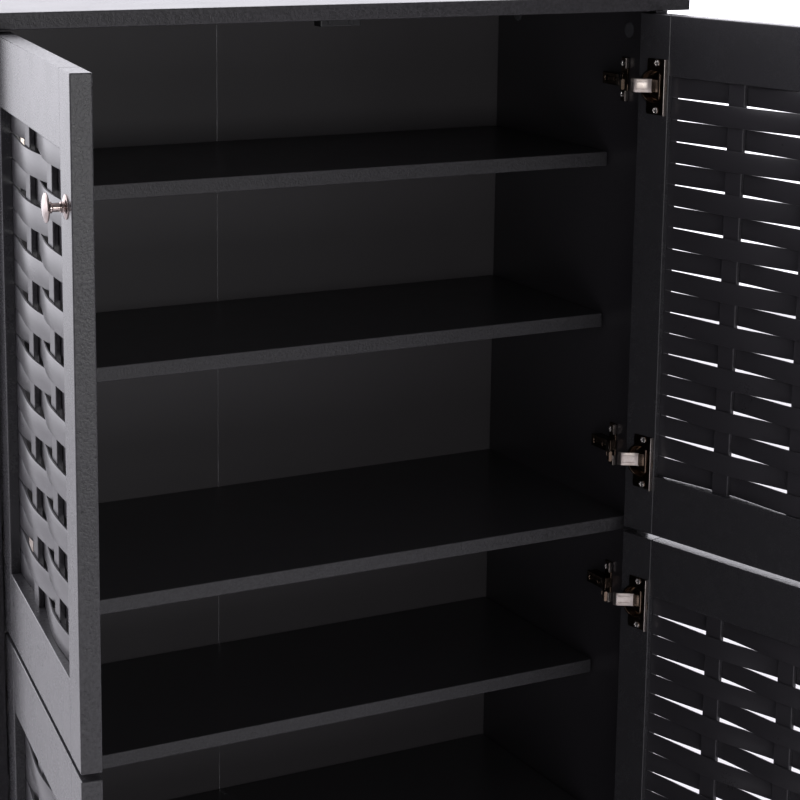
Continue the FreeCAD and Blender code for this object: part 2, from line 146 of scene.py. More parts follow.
class Recipe:
    """The node tree of one material or world, with its shader."""

    def __init__(self, owner: bpy.types.ID, shader: str, output: str) -> None:
        """Starts a tree that holds one shader.

        Args:
            owner: the material or the world.
            shader: the type of its shader node.
            output: the type of its output node.
        """
        self.owner = owner
        owner.use_nodes = True
        self.tree = owner.node_tree
        self.tree.nodes.clear()
        self.shader = self.node(shader, {}, {})
        self.tree.links.new(self.shader.outputs[0], self.node(output, {}, {}).inputs[0])

    def node(self, kind: str, settings: dict[str, Any], inputs: dict[Any, Any]) -> bpy.types.Node:
        """Adds a node.

        Args:
            kind: the node's type.
            settings: the node's own settings; "stops" gives a ramp's places and colours.
            inputs: a value, a Wire or a socket for each input, by name or number.

        Returns:
            The new node.
        """
        made = self.tree.nodes.new(kind)
        for key, value in settings.items():
            if key == "stops":
                self._set_stops(made.color_ramp, value)
            else:
                setattr(made, key, value)
        for key, value in inputs.items():
            self.feed(made.inputs[key], value)
        return made

    def feed(self, socket: Socket, value: Any) -> None:
        """Gives an input what it needs.

        Args:
            socket: the input.
            value: a Wire or a socket to link, or a value to set.
        """
        if isinstance(value, Wire):
            self.tree.links.new(value.socket, socket)
        elif isinstance(value, Socket):
            self.tree.links.new(value, socket)
        else:
            socket.default_value = value

    def _set_stops(self, ramp: bpy.types.ColorRamp, stops: Sequence[Pair]) -> None:
        """Sets the grey stops of a ramp.

        Args:
            ramp: the ramp.
            stops: a place and a level for each stop.
        """
        while len(ramp.elements) < len(stops):
            ramp.elements.new(0.5)
        for element, (place, level) in zip(ramp.elements, stops):
            element.position = place
            element.color = (level, level, level, 1.0)

    def set(self, values: dict[str, Any]) -> None:
        """Sets or links inputs of the shader."""
        for name, value in values.items():
            self.feed(self.shader.inputs[name], value)

    def noise(self, size_mm: float, detail: float = 2.0, rough: float = 0.5,
              stretch: Triple = (1.0, 1.0, 1.0)) -> Wire:
        """Soft noise between 0 and 1.

        Args:
            size_mm: the rough size of one lump.
            detail: how many finer layers are added.
            rough: how strong the finer layers are.
            stretch: a share of the frequency along each axis.

        Returns:
            The noise as a Wire.
        """
        source = self.node("ShaderNodeTexCoord", {}, {}).outputs["Object"]
        place = self.node("ShaderNodeMapping", {}, {"Vector": source, "Scale": stretch})
        inputs = {"Vector": place.outputs[0], "Scale": 1.0 / (size_mm * MM),
                  "Detail": detail, "Roughness": rough}
        return Wire(self, self.node("ShaderNodeTexNoise", {}, inputs).outputs[0])

    def ramp(self, value: Number, stops: Sequence[Pair]) -> Wire:
        """A value looked up in grey stops."""
        made = self.node("ShaderNodeValToRGB", {"stops": stops}, {0: value})
        return Wire(self, made.outputs[0])

    def attribute(self, name: str) -> Wire:
        """A number stored on the mesh."""
        made = self.node("ShaderNodeAttribute", {"attribute_name": name}, {})
        return Wire(self, made.outputs["Fac"])

    def between(self, value: Socket, span: Pair, levels: Pair) -> Wire:
        """A smooth change between two levels.

        Args:
            value: the number that changes.
            span: where the change starts and ends.
            levels: the level before the span and after it.

        Returns:
            The level as a Wire.
        """
        ends = zip(("From Min", "From Max", "To Min", "To Max"), (*span, *levels))
        made = self.node("ShaderNodeMapRange", {"interpolation_type": "SMOOTHSTEP"},
                         {"Value": value, **dict(ends)})
        return Wire(self, made.outputs[0])

    def blend(self, mask: Number, first: Value, second: Value) -> Socket:
        """The colour between two colours.

        Args:
            mask: the share of the second colour.
            first: a colour or a socket.
            second: a colour or a socket.

        Returns:
            The socket of the blended colour.
        """
        first, second = (end if isinstance(end, Socket) else (*end, 1.0)
                         for end in (first, second))
        made = self.node("ShaderNodeMix", {"data_type": "RGBA"}, {0: mask, 6: first, 7: second})
        return made.outputs[2]

    def shades(self, mask: Number, colour: Triple, low: float, high: float) -> Socket:
        """A colour made darker and lighter by two shares where a mask says."""
        return self.blend(mask, [low * part for part in colour], [high * part for part in colour])

    def bump(self, height: Number, depth_mm: float) -> Socket:
        """The normal of a surface that a height between 0 and 1 raises by a depth."""
        inputs = {"Strength": 1.0, "Distance": depth_mm * MM, "Height": height}
        return self.node("ShaderNodeBump", {}, inputs).outputs[0]


# ---- Finishes ----


@dataclass(frozen=True)
class Finish:
    """What the finishes share: a colour and the making of a material."""

    colour: Triple

    def build(self, name: str) -> bpy.types.Material:
        """Makes the material.

        Args:
            name: the material's name.

        Returns:
            The finished material.
        """
        recipe = Recipe(bpy.data.materials.new(name), "ShaderNodeBsdfPrincipled",
                        "ShaderNodeOutputMaterial")
        recipe.set(self.surface(recipe))
        return recipe.owner

    def surface(self, recipe: Recipe) -> dict[str, Any]:
        """What each input of the surface shader gets."""
        raise NotImplementedError


@dataclass(frozen=True)
class SatinLacquer(Finish):
    """Sprayed charcoal lacquer: a fine orange peel, hammered milled sides and rubbed edges."""

    rubbed: Triple
    sheen: float
    peel_size: float
    peel_depth: float
    fibre_depth: float = 0.004
    fibre_size: float = 0.5
    cloud_size: float = 120.0
    wear_size: float = 9.0
    wear_share: float = 0.55
    haze_size: float = 38.0
    milled_size: float = 2.6
    milled_depth: float = 0.2

    def surface(self, recipe: Recipe) -> dict[str, Any]:
        """The clouded colour with its wear, the sheen and the relief.

        Args:
            recipe: the material's recipe.

        Returns:
            What each input of the surface shader gets.
        """
        cloud = recipe.noise(self.cloud_size, 3.0)
        peel = recipe.noise(self.peel_size, 2.0, 0.55)
        fibre = recipe.noise(self.fibre_size, 1.0)
        haze = recipe.noise(self.haze_size, 3.0, 0.6)
        wear = recipe.ramp(recipe.noise(self.wear_size, 4.0, 0.65), [(0.42, 0.0), (0.72, 1.0)])
        lumps = recipe.ramp(recipe.noise(self.milled_size, 3.0, 0.6), [(0.33, 0.0), (0.67, 1.0)])
        milled = recipe.attribute("milled")
        hammered = milled * lumps
        sides = recipe.blend(milled, recipe.shades(cloud, self.colour, 0.9, 1.1),
                             recipe.shades(lumps, self.colour, 0.6, 1.4))
        height = (hammered + peel * (self.peel_depth / self.milled_depth)
                  + fibre * (self.fibre_depth / self.milled_depth))
        edge = recipe.attribute("rub") * wear
        return {
            "Base Color": recipe.blend(edge * self.wear_share, sides, self.rubbed),
            "Roughness": self.sheen - 0.05 + 0.06 * haze + 0.04 * peel + 0.1 * hammered,
            "Normal": recipe.bump(height, self.milled_depth),
            "IOR": 1.5,
        }


@dataclass(frozen=True)
class PlatedMetal(Finish):
    """Bright plating over pressed or turned metal, with faint handling marks."""

    dull: Triple
    roughness: float
    mark_depth: float = 0.002
    mark_size: float = 0.7
    smudge_size: float = 6.0

    def surface(self, recipe: Recipe) -> dict[str, Any]:
        """The smudged plating with its drawn marks.

        Args:
            recipe: the material's recipe.

        Returns:
            What each input of the surface shader gets.
        """
        smudge = recipe.ramp(recipe.noise(self.smudge_size, 4.0, 0.6), [(0.4, 0.0), (0.75, 1.0)])
        drawn = recipe.noise(self.mark_size, 2.0, 0.5, (1.0, 1.0, 0.08))
        return {
            "Base Color": recipe.blend(smudge, self.colour, self.dull),
            "Metallic": 1.0,
            "Roughness": self.roughness + 0.08 * smudge + 0.03 * drawn,
            "Normal": recipe.bump(drawn, self.mark_depth),
        }


@dataclass(frozen=True)
class MouldedPlastic(Finish):
    """Moulded plastic with a fine spark texture."""

    roughness: float
    grain_depth: float = 0.01
    grain_size: float = 0.6
    cloud_size: float = 11.0

    def surface(self, recipe: Recipe) -> dict[str, Any]:
        """The clouded colour with its grain.

        Args:
            recipe: the material's recipe.

        Returns:
            What each input of the surface shader gets.
        """
        cloud = recipe.noise(self.cloud_size, 3.0)
        return {
            "Base Color": recipe.shades(cloud, self.colour, 0.85, 1.2),
            "Roughness": self.roughness - 0.06 + 0.12 * cloud,
            "Normal": recipe.bump(recipe.noise(self.grain_size, 2.0, 0.6), self.grain_depth),
        }


@dataclass(frozen=True)
class PaleFloor(Finish):
    """A plain pale studio floor."""

    colour: Triple = (0.8, 0.79, 0.8)
    roughness: float = 0.7

    def surface(self, recipe: Recipe) -> dict[str, Any]:
        """The plain colour and its roughness."""
        return {"Base Color": (*self.colour, 1.0), "Roughness": self.roughness}


CHARCOAL = (0.031, 0.0288, 0.0325)
RUBBED = (0.055, 0.053, 0.058)
FINISHES = {
    Slot.TOP_BOARD: SatinLacquer(CHARCOAL, RUBBED, 0.35, 1.8, 0.02),
    Slot.SIDE_BOARD: SatinLacquer(CHARCOAL, RUBBED, 0.3, 1.8, 0.02),
    Slot.INNER_BOARD: SatinLacquer((0.028, 0.0268, 0.029), RUBBED, 0.32, 1.8, 0.02),
    Slot.BACK_BOARD: SatinLacquer((0.042, 0.038, 0.041), RUBBED, 0.46, 1.2, 0.015),
    Slot.DOOR_FRAME: SatinLacquer((0.034, 0.033, 0.036), RUBBED, 0.27, 1.6, 0.009, 0.0015),
    Slot.DOOR_SLATS: SatinLacquer((0.034, 0.032, 0.036), RUBBED, 0.29, 1.8, 0.025),
    Slot.DOOR_BARS: SatinLacquer((0.032, 0.03, 0.034), RUBBED, 0.33, 1.8, 0.025),
    Slot.POLISHED_NICKEL: PlatedMetal((0.46, 0.39, 0.37), (0.36, 0.29, 0.26), 0.12),
    Slot.NICKEL_STEEL: PlatedMetal((0.56, 0.5, 0.46), (0.46, 0.39, 0.35), 0.26),
    # Painted shade: nickel darkened to brown, as if it reflected the dark interior. The arms, plate
    # pressings and cups take it; the links, lips and plate ears keep the plain nickel as the lit
    # parts.
    Slot.SMOKED_NICKEL: PlatedMetal((0.17, 0.125, 0.095), (0.11, 0.075, 0.05), 0.16),
    Slot.BRIGHT_STEEL: PlatedMetal((0.72, 0.69, 0.66), (0.6, 0.56, 0.52), 0.2, 0.004),
    Slot.CAP_PLASTIC: MouldedPlastic((0.075, 0.075, 0.08), 0.42),
    Slot.BLACK_PLASTIC: MouldedPlastic((0.014, 0.014, 0.015), 0.36),
}


# ---- Surfaces ----


@dataclass
class Shell:
    """Closed surfaces: points in millimetres, faces, and two marks between 0 and 1 per point.

    The first mark is how rubbed the surface is, the second how much it shows its milling.
    """

    points: Array
    faces: list[Array]
    marks: Array

    @classmethod
    def of(cls, points: Array, faces: list[Array]) -> "Shell":
        """A shell with no rubbed edges and no milled sides."""
        return cls(points, faces, np.zeros((len(points), 2)))

    @classmethod
    def joined(cls, shells: Sequence["Shell"]) -> "Shell":
        """Several shells as one.

        Args:
            shells: the shells.

        Returns:
            One shell with all their points and faces.
        """
        starts = np.cumsum([0] + [len(shell.points) for shell in shells[:-1]])
        faces = [face + start for shell, start in zip(shells, starts) for face in shell.faces]
        return cls(np.concatenate([shell.points for shell in shells]), faces,
                   np.concatenate([shell.marks for shell in shells]))

    def moved(self, mapping: Callable[[Array], Array]) -> "Shell":
        """The shell with its points mapped, and its faces still outwards."""
        return Shell(mapping(self.points), self.faces, self.marks).outward()

    def stood(self, origin: Sequence[float], direction: Sequence[float]) -> "Shell":
        """The shell, drawn along Z, with its own origin at a point and its Z along a direction."""
        return self.moved(towards(origin, direction))

    def outward(self) -> "Shell":
        """The shell with its faces outwards.

        The signed volume is a sixth of the sum of the triple products of each face's fan.

        Returns:
            This shell, or a copy with the faces turned over.
        """
        centred = self.points - self.points.mean(0)
        volume = 0.0
        for face in self.faces:
            for corner in range(1, face.shape[1] - 1):
                first, second, third = (centred[face[:, k]] for k in (0, corner, corner + 1))
                volume += float(np.einsum("ij,ij->", first, np.cross(second, third)))
        if volume >= 0:
            return self
        return Shell(self.points, [face[:, ::-1] for face in self.faces], self.marks)


def grid_quads(rows: int, columns: int, wrap_rows: bool = False,
               wrap_columns: bool = False) -> Array:
    """Quads between neighbouring points of a grid.

    Args:
        rows: how many rows the grid has.
        columns: how many columns it has.
        wrap_rows: whether the last row meets the first.
        wrap_columns: whether the last column meets the first.

    Returns:
        The four point numbers of each quad.
    """
    row = np.arange(rows if wrap_rows else rows - 1)
    column = np.arange(columns if wrap_columns else columns - 1)
    row, column = np.meshgrid(row, column, indexing="ij")
    next_row, next_column = (row + 1) % rows, (column + 1) % columns
    corners = [row * columns + column, next_row * columns + column,
               next_row * columns + next_column, row * columns + next_column]
    return np.stack(corners, -1).reshape(-1, 4)


def rounded_board(low: Sequence[float], high: Sequence[float], radius: float,
                  margin: float = 3.0) -> Shell:
    """A board with rounded edges and corners.

    Each of the six faces is a grid in two parameters.  A grid point is clamped to the box
    that is smaller by the radius, and pushed out from there by the radius along the
    direction to the grid point, so the faces meet in quarter rounds.

    Args:
        low: the lowest corner.
        high: the highest corner.
        radius: the edge radius.
        margin: how far the edge rub reaches over a face.

    Returns:
        The board, rubbed most on its edges and milled on all but its two widest faces.
    """
    low, high = np.asarray(low, float), np.asarray(high, float)
    half, centre = (high - low) / 2, (high + low) / 2
    radius = min(radius, ROUND_LIMIT * float(half.min()))
    flat = half - radius
    rise = radius * np.tan(np.radians([0.0, 22.5, 45.0]))
    weight = np.array([0.0, 0.6, 1.0, 1.0, 1.0])
    levels, rubs = [], []
    for axis in range(3):
        inner = flat[axis] - np.array([min(margin, 0.6 * flat[axis]), min(0.4, 0.2 * flat[axis])])
        upper = np.concatenate([inner, flat[axis] + rise])
        levels.append(np.concatenate([-upper[::-1], upper]))
        rubs.append(np.concatenate([weight[::-1], weight]))
    count = len(levels[0])
    quads = grid_quads(count, count)
    points, faces, rub = [], [], []
    for axis in range(3):
        across, along = (axis + 1) % 3, (axis + 2) % 3
        first, second = np.meshgrid(levels[across], levels[along], indexing="ij")
        wear = np.maximum(*np.meshgrid(rubs[across], rubs[along], indexing="ij")).ravel()
        for sign in (-1.0, 1.0):
            place = np.zeros((count * count, 3))
            place[:, axis] = sign * half[axis]
            place[:, across], place[:, along] = first.ravel(), second.ravel()
            core = np.clip(place, -flat, flat)
            out = place - core
            place = core + radius * out / np.linalg.norm(out, axis=1, keepdims=True)
            faces.append((quads if sign > 0 else quads[:, ::-1]) + len(points) * count * count)
            points.append(place + centre)
            rub.append(wear)
    everything = np.round(np.concatenate(points), 4)
    unique, index, inverse = np.unique(everything, axis=0, return_index=True, return_inverse=True)
    thin = int(np.argmin(half))
    milled = np.clip((half[thin] - abs(unique[:, thin] - centre[thin])) / radius, 0.0, 1.0)
    marks = np.stack([np.concatenate(rub)[index], milled], -1)
    return Shell(unique, [inverse.ravel()[np.concatenate(faces)]], marks).outward()


def spun(rows: Array, poles: Sequence[float]) -> Shell:
    """Rings of points closed by a fan at each pole.

    Args:
        rows: the rings' points, ring by ring from the lower pole to the upper one.
        poles: the heights of the two poles.

    Returns:
        The closed piece.
    """
    count, ring_count = rows.shape[1], len(rows)
    ring = np.arange(count)
    after = (ring + 1) % count
    last = (ring_count - 1) * count
    low_pole = np.full(count, ring_count * count)
    fans = [np.stack([low_pole, after, ring], -1),
            np.stack([low_pole + 1, last + ring, last + after], -1)]
    points = np.concatenate([rows.reshape(-1, 3), [[0.0, 0.0, level] for level in poles]])
    quads = grid_quads(ring_count, count, wrap_columns=True)
    return Shell.of(points, [quads[:, ::-1], *fans]).outward()


def turned(profile: Sequence[Sequence[float]], count: int = 32) -> Shell:
    """A turned piece: a profile of (radius, height) spun round Z, closed by a fan at each pole.

    Args:
        profile: the profile from the lower pole to the upper one, both at radius 0.
        count: how many points go round.

    Returns:
        The turned piece.
    """
    line = np.asarray(profile, float)
    angle = np.linspace(0.0, 2 * np.pi, count, endpoint=False)
    radius, level = line[1:-1, :1], line[1:-1, 1:]
    rows = np.stack([radius * np.cos(angle), radius * np.sin(angle), level + 0.0 * angle], -1)
    return spun(rows, (line[0, 1], line[-1, 1]))


def rounded_section(half_wide: float, half_high: float, radius: float, steps: int = 3) -> Array:
    """A rectangle's outline with rounded corners: four corner centres plus quarter arcs.

    Args:
        half_wide: half the width.
        half_high: half the height.
        radius: the corner radius.
        steps: how many chords each quarter has.

    Returns:
        The outline's points.
    """
    arc = np.radians(np.linspace(0.0, 90.0, steps + 1))
    turns = np.concatenate([arc + quarter * np.pi / 2 for quarter in range(4)])
    signs = np.repeat([[1, 1], [-1, 1], [-1, -1], [1, -1]], steps + 1, axis=0)
    middle = signs * np.array([half_wide - radius, half_high - radius])
    return middle + radius * np.stack([np.cos(turns), np.sin(turns)], -1)


def carried(section: Array, path: Array, scale: Array | None = None) -> Shell:
    """A section carried along a level path.

    The point at row i and column j is the path's point i plus the section's first value times
    the level direction square to the path, plus its second value upwards.

    Args:
        section: outline points as (across, up).
        path: points of the path.
        scale: how much the section grows at each path point, across and up.

    Returns:
        The closed piece, with a flat face at both ends.
    """
    rise = np.array([0.0, 0.0, 1.0])
    across = np.cross(np.gradient(path, axis=0), rise)
    across /= np.linalg.norm(across, axis=1, keepdims=True)
    grow = np.ones((len(path), 2)) if scale is None else scale
    sides = section[None, :, 0, None] * grow[:, None, :1] * across[:, None, :]
    lifts = section[None, :, 1, None] * grow[:, None, 1:] * rise
    points = (path[:, None, :] + sides + lifts).reshape(-1, 3)
    rows, columns = len(path), len(section)
    ring = np.arange(columns)[None, :]
    caps = [ring[:, ::-1], ring + (rows - 1) * columns]
    return Shell.of(points, [grid_quads(rows, columns, wrap_columns=True)[:, ::-1],
                             *caps]).outward()


def softened(path: Array) -> Array:
    """A path whose inner points move halfway to the middle of their neighbours."""
    path[1:-1] = 0.5 * path[1:-1] + 0.25 * (path[:-2] + path[2:])
    return path


def pierced_plate(outline: Callable[[Array], Array], hole: float, low: float, high: float,
                  edge: float, count: int = 96) -> Shell:
    """A flat plate with a round hole.

    Rows run round the plate's own thickness and columns round the hole.  A row's radius lies
    on the hole, or on the outline less the edge's chamfer.

    Args:
        outline: the outer radius at each angle.
        hole: the hole's radius.
        low: the lower level.
        high: the upper level.
        edge: the chamfer at the rims.
        count: how many points go round.

    Returns:
        The plate, flat in X and Y and with its thickness along Z.
    """
    angle = np.linspace(0.0, 2 * np.pi, count, endpoint=False)
    rim = outline(angle)
    inner = np.full(count, hole)
    rows = [(inner + edge, low), (rim - edge, low), (rim, low + edge), (rim, high - edge),
            (rim - edge, high), (inner + edge, high), (inner, high - edge), (inner, low + edge)]
    points = [np.stack([radius * np.cos(angle), radius * np.sin(angle), np.full(count, level)], -1)
              for radius, level in rows]
    return Shell.of(np.concatenate(points), [grid_quads(len(rows), count, True, True)]).outward()


def screw_head(radius: float, height: float, count: int = 32) -> Shell:
    """A domed screw head with a cross recess.

    The height over a polar grid is a dome less a depth wherever the nearer of the two cross
    arms lies within the slot's width and inside the slot's reach.

    Args:
        radius: the head's radius.
        height: the head's height.
        count: how many points go round.

    Returns:
        The head, standing on Z = 0.
    """
    share = np.array([0.14, 0.28, 0.42, 0.56, 0.68, 0.82, 0.93, 1.0])
    angle = np.linspace(0.0, 2 * np.pi, count, endpoint=False)
    ring, turn = np.meshgrid(share * radius, angle, indexing="ij")
    x, y = ring * np.cos(turn), ring * np.sin(turn)
    dome = height * np.sqrt(np.clip(1.0 - 0.75 * (ring / radius) ** 2, 0.0, 1.0))
    arm, reach, sunk = 0.17 * radius, 0.62 * radius, 0.55 * height
    slot = np.clip((arm - np.minimum(abs(x), abs(y))) / (0.07 * radius), 0.0, 1.0)
    slot *= np.clip((reach - ring) / (0.08 * radius), 0.0, 1.0)
    top = np.stack([x, y, dome - sunk * slot], -1)[::-1]
    foot = np.stack([x[-1], y[-1], np.zeros(count)], -1)
    return spun(np.concatenate([foot[None], top]), (0.0, height - sunk))


def towards(origin: Sequence[float], direction: Sequence[float]) -> Callable[[Array], Array]:
    """The mapping that stands a piece drawn along Z at an origin, along a direction.

    Args:
        origin: where the piece's own origin goes.
        direction: where its Z points.

    Returns:
        The mapping of points.
    """
    axis = np.asarray(direction, float)
    axis = axis / np.linalg.norm(axis)
    helper = np.array([0.0, 0.0, 1.0]) if abs(axis[2]) < 0.9 else np.array([0.0, 1.0, 0.0])
    side = np.cross(helper, axis)
    side /= np.linalg.norm(side)
    turn = np.stack([side, np.cross(axis, side), axis])
    return lambda points: points @ turn + np.asarray(origin, float)


# ---- Making objects ----


class Workshop:
    """Turns shells into dressed objects that ride on the cabinet's bodies."""

    def __init__(self, finishes: dict[Slot, Finish], nodes: dict[str, bpy.types.Object]) -> None:
        """Builds every finish.

        Args:
            finishes: the finish of each slot.
            nodes: the cabinet's own node objects.
        """
        self.materials = {slot: finish.build(slot.value) for slot, finish in finishes.items()}
        self.nodes = nodes

    def piece(self, name: str, shells: Sequence[Shell], slot: Slot, body: str,
              stands_for: Sequence[str]) -> bpy.types.Object:
        """Makes one object.

        Args:
            name: the object's name.
            shells: its surfaces, in millimetres in the cabinet's frame.
            slot: the material slot it takes its finish from.
            body: the body it rides on.
            stands_for: the nodes it is shown in place of.

        Returns:
            The new object.
        """
        shell = Shell.joined(list(shells))
        mesh = bpy.data.meshes.new(name)
        faces = [face.tolist() for group in shell.faces for face in group]
        mesh.from_pydata((shell.points * MM).tolist(), [], faces)
        for column, mark in enumerate(("rub", "milled")):
            values = mesh.attributes.new(mark, "FLOAT", "POINT").data
            values.foreach_set("value", shell.marks[:, column].astype(np.float32))
        mesh.validate()
        mesh.shade_smooth()
        mesh.set_sharp_from_angle(angle=math.radians(SHARP_ANGLE))
        mesh.materials.append(self.materials[slot])
        made = linked(name, mesh)
        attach(made, body)
        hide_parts(*stands_for)
        LOG.info("%s: %d faces, %s, on %s", name, len(faces), slot.value, body)
        return made

    def dress(self, node: str, slot: Slot) -> None:
        """Gives one of the cabinet's own nodes its finish.

        Args:
            node: the node's name.
            slot: the material slot it takes its finish from.
        """
        thing = self.nodes[node]
        thing.data.materials.clear()
        thing.data.materials.append(self.materials[slot])
        LOG.info("%s: dressed in %s", node, slot.value)


def linked(name: str, data: bpy.types.ID) -> bpy.types.Object:
    """A new object in the scene.

    Args:
        name: the object's name.
        data: its mesh, light or camera.

    Returns:
        The object.
    """
    made = bpy.data.objects.new(name, data)
    bpy.context.scene.collection.objects.link(made)
    return made


def limits(node: str) -> tuple[Array, Array]:
    """A node's lowest and highest corners in millimetres."""
    low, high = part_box(node)
    return np.array(low) / MM, np.array(high) / MM


# ---- Carcass ----


@dataclass
class Carcass:
    """The boards of the cabinet's body."""

    workshop: Workshop
    body: str = "cabinet"
    board_round: float = 0.9
    top_round: float = 1.1
    back_round: float = 0.35
    boards: dict[str, Slot] = field(default_factory=lambda: {
        "left_side_panel": Slot.SIDE_BOARD, "right_side_panel": Slot.SIDE_BOARD,
        "bottom_panel": Slot.INNER_BOARD, "middle_shelf": Slot.INNER_BOARD,
        "upper_shelf_high": Slot.INNER_BOARD, "upper_shelf_low": Slot.INNER_BOARD,
        "lower_shelf_high": Slot.INNER_BOARD, "lower_shelf_low": Slot.INNER_BOARD,
        "plinth": Slot.SIDE_BOARD})

    def build(self) -> None:
        """Builds the top, the sides, the shelves, the plinth and the back."""
        rows = [("top_panel", "top_board", Slot.TOP_BOARD, self.top_round)]
        rows += [(node, node + "_board", slot, self.board_round)
                 for node, slot in self.boards.items()]
        rows += [(node, node + "_sheet", Slot.BACK_BOARD, self.back_round)
                 for node in ("back_panel_left", "back_panel_right")]
        for node, name, slot, radius in rows:
            board = rounded_board(*limits(node), radius)
            self.workshop.piece(name, [board], slot, self.body, [node])


@dataclass
class Fittings:
    """Small fixed parts of the carcass: pins, caps, nails, glides and catches."""

    workshop: Workshop
    body: str = "cabinet"
    half_inner: float = 349.0
    half_board: float = 7.5
    shelves: tuple[str, ...] = ("upper_shelf_high", "upper_shelf_low",
                                "lower_shelf_high", "lower_shelf_low")
    pin_radius: float = 2.5
    pin_reach: float = 8.0
    pin_inset: float = 34.0
    cap_radius: float = 8.25
    cap_sunk: float = 2.0
    cap_level: float = 1161.0
    cap_rows: Pair = (16.5, 236.5)
    nail_pitch: float = 150.0
    nail_start: float = 15.0
    nail_rows: int = 7
    glide_radius: float = 7.0
    glide_inset: float = 30.0
    catch_round: float = 1.2
    catch_tall: float = 9.0
    catch_back: float = 0.6
    magnet_step: float = 11.0
    magnet_radius: float = 3.0
    magnet_long: float = 2.9

    def build(self) -> None:
        """Builds all small fixed parts."""
        make = self.workshop.piece
        make("shelf_support_pins", self.pins(), Slot.BRIGHT_STEEL, self.body, ["shelf_pins"])
        make("cam_covers", self.caps(), Slot.CAP_PLASTIC, self.body, ["cam_locks"])
        make("back_nail_heads", self.nails(), Slot.BRIGHT_STEEL, self.body, ["back_nails"])
        make("foot_glides", self.glides(), Slot.BLACK_PLASTIC, self.body, ["floor_glides"])
        make("double_catches", self.catches(), Slot.BLACK_PLASTIC, self.body, ["magnetic_catches"])

    def pins(self) -> list[Shell]:
        """Round pins with a flat collar under each shelf's ends.

        Returns:
            Four pins for each loose shelf.
        """
        pin = turned([(0.0, 0.0), (1.9, 0.0), (2.5, 0.6), (2.5, 6.3), (4.4, 6.5), (4.4, 7.7),
                      (2.5, 7.9), (2.5, 15.6), (2.0, 16.0), (0.0, 16.0)], 20)
        start = self.half_inner - self.pin_reach
        shells = []
        for low, high in map(limits, self.shelves):
            level = low[2] - self.pin_radius
            shells += [pin.stood((side * start, row, level), (side, 0, 0))
                       for side in (-1, 1)
                       for row in (low[1] + self.pin_inset, high[1] - self.pin_inset)]
        return shells

    def caps(self) -> list[Shell]:
        """Thin domed cover caps over the cam fittings.

        Returns:
            Two caps for each side.
        """
        radius = self.cap_radius
        cap = turned([(0.0, 0.0), (radius - 1.5, 0.0), (radius - 1.5, 2.0), (radius, 2.0),
                      (radius, 2.3), (radius - 0.5, 2.65), (radius * 0.55, 2.8), (1.0, 2.8),
                      (0.6, 2.45), (0.0, 2.4)], 36)
        start = self.half_inner + self.cap_sunk
        return [cap.stood((side * start, row, self.cap_level), (-side, 0, 0))
                for side in (-1, 1) for row in self.cap_rows]

    def nails(self) -> list[Shell]:
        """Flat nail heads, flush in the back sheet.

        Returns:
            The nails up both sides, and those along the fixed boards.
        """
        back = limits("back_panel_left")[1][1]
        head = turned([(0.0, -4.0), (0.7, -4.0), (0.7, -0.9), (1.7, -0.8), (2.0, -0.4),
                       (1.9, -0.02), (0.0, 0.0)], 12)
        spots = [(side * (self.half_inner + self.half_board),
                  self.nail_pitch * (index + 0.5) + self.nail_start)
                 for side in (-1, 1) for index in range(self.nail_rows)]
        across = (self.half_inner / 3, 2 * self.half_inner / 3)
        levels = [sum(corner[2] for corner in limits(node)) / 2
                  for node in ("middle_shelf", "bottom_panel")]
        spots += [(side * x, level) for side in (-1, 1) for x in across for level in levels]
        return [head.stood((x, back, level), (0, 1, 0)) for x, level in spots]

    def glides(self) -> list[Shell]:
        """Round glides nailed under the side panels.

        Returns:
            Two glides for each side.
        """
        low, high = limits("left_side_panel")
        thick, radius = low[2], self.glide_radius
        glide = turned([(0.0, 0.0), (radius - 1.6, 0.0), (radius - 0.5, 0.5), (radius, 1.5),
                        (radius, thick - 0.6), (radius - 0.6, thick), (0.0, thick)], 28)
        start = self.half_inner + self.half_board
        return [glide.stood((side * start, row, 0.0), (0, 0, 1)) for side in (-1, 1)
                for row in (low[1] + self.glide_inset, high[1] - self.glide_inset)]

    def catches(self) -> list[Shell]:
        """A double catch under the top and one on the bottom panel, each with two magnet bosses.

        Returns:
            The blocks and their bosses.
        """
        low, high = limits("magnetic_catches")
        radius, long = self.magnet_radius, self.magnet_long
        boss = turned([(0.0, 0.0), (radius, 0.0), (radius, long - 0.5), (radius - 0.5, long),
                       (0.0, long)], 24)
        shells = []
        for floor in (low[2], high[2] - self.catch_tall):
            shells.append(rounded_board((low[0], low[1] + self.catch_back, floor),
                                        (high[0], high[1], floor + self.catch_tall),
                                        self.catch_round, 1.0))
            level = floor + self.catch_tall / 2
            shells += [boss.stood((x, low[1] + long, level), (0, -1, 0))
                       for x in (-self.magnet_step, self.magnet_step)]
        return shells


# ---- Hinges ----


